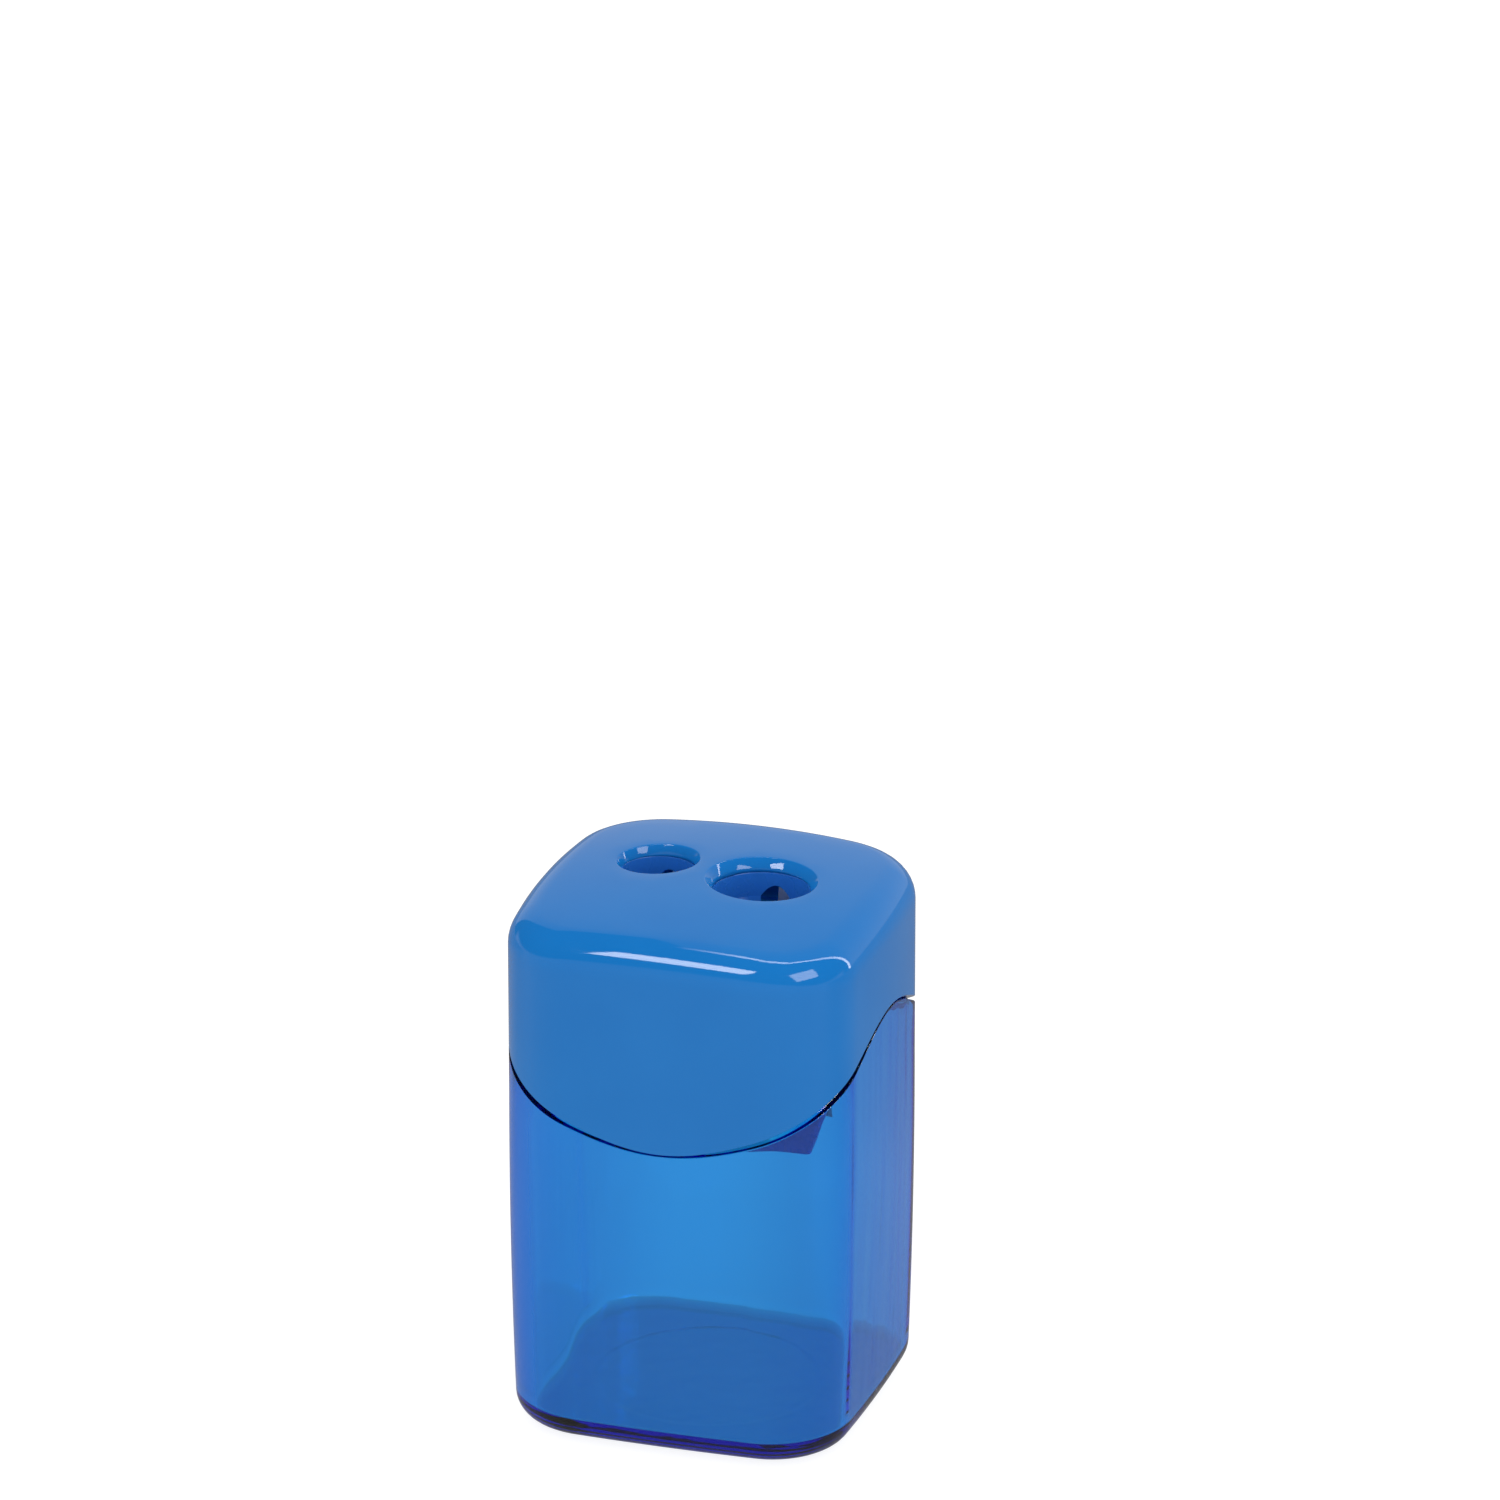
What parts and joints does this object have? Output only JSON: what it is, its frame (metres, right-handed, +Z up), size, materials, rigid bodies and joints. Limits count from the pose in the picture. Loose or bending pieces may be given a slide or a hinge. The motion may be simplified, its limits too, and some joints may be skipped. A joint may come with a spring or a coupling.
{
  "type": "canister pencil sharpener",
  "caption": "Square pencil sharpener: see-through shavings container with a wavy rim, and an opaque lift-off lid that carries a block with standard and jumbo cones and screwed-on blades.",
  "frame": {"origin": "centre of the underside, on the surface that the part stands on", "axes": "+Z up through the lid, front of the container towards -Y, standard hole to -X, jumbo hole to +X"},
  "size_m": [0.04, 0.04, 0.0607],
  "materials": {
    "clear_blue_plastic": "clear, tinted, polished moulding",
    "lid_blue_plastic": "opaque, glossy moulding",
    "block_blue_plastic": "opaque, satin moulding",
    "blade_steel": "ground along its length",
    "screw_steel": "plated"
  },
  "bodies": {
    "container": {"container": "clear_blue_plastic"},
    "lid": {"lid": "lid_blue_plastic", "sharpener_block": "block_blue_plastic", "standard_blade": "blade_steel", "standard_blade_screw": "screw_steel", "jumbo_blade": "blade_steel", "jumbo_blade_screw": "screw_steel"}
  },
  "joints": [
    {"name": "lid_lift", "type": "slide", "parent": "container", "child": "lid", "axis": [0, 0, 1], "range_m": [0, 0.045]}
  ]
}
